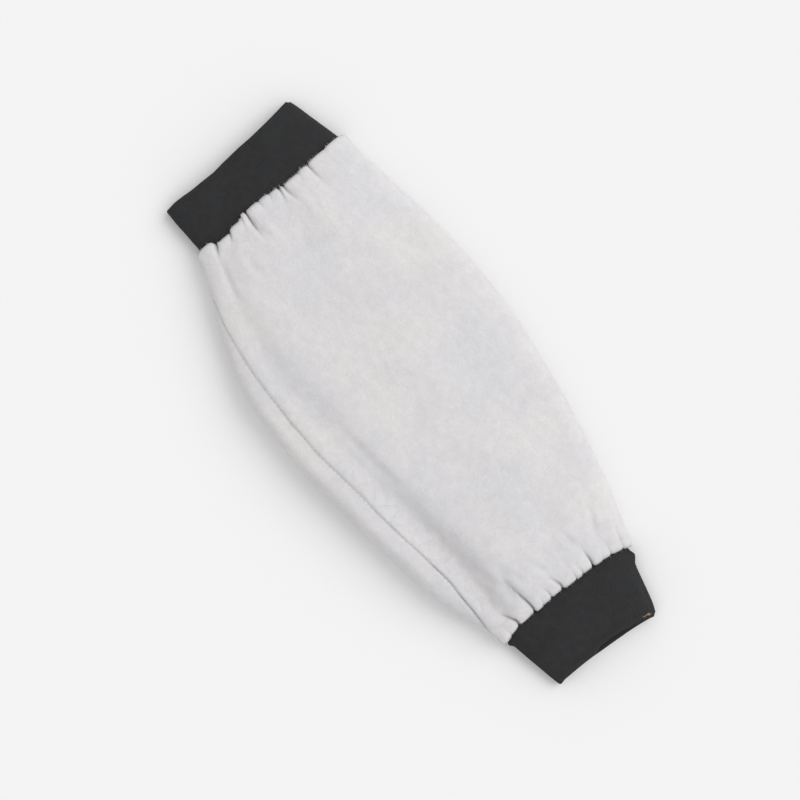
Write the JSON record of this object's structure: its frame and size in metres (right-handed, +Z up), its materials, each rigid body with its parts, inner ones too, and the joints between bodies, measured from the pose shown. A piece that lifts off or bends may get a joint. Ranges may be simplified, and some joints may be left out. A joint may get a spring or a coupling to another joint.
{
  "type": "welding sleeve",
  "caption": "Slip-on protective arm sleeve: a gathered tube of split leather with a wide ribbed elastic band at the upper arm and another at the wrist, lying flat.",
  "frame": {"origin": "on the table, under the middle of the sleeve's bounding box", "axes": "+X along the sleeve from the upper-arm mouth to the wrist mouth, +Y across it away from the side seam, +Z up from the table"},
  "size_m": [0.4042, 0.169, 0.0296],
  "materials": {
    "suede_leather": "matt light grey split leather with a short nap and faint mottling",
    "black_elastic": "matt black ribbed woven elastic"
  },
  "bodies": {
    "root": {"leather_tube": "suede_leather", "upper_band": "black_elastic", "wrist_band": "black_elastic"}
  },
  "joints": []
}
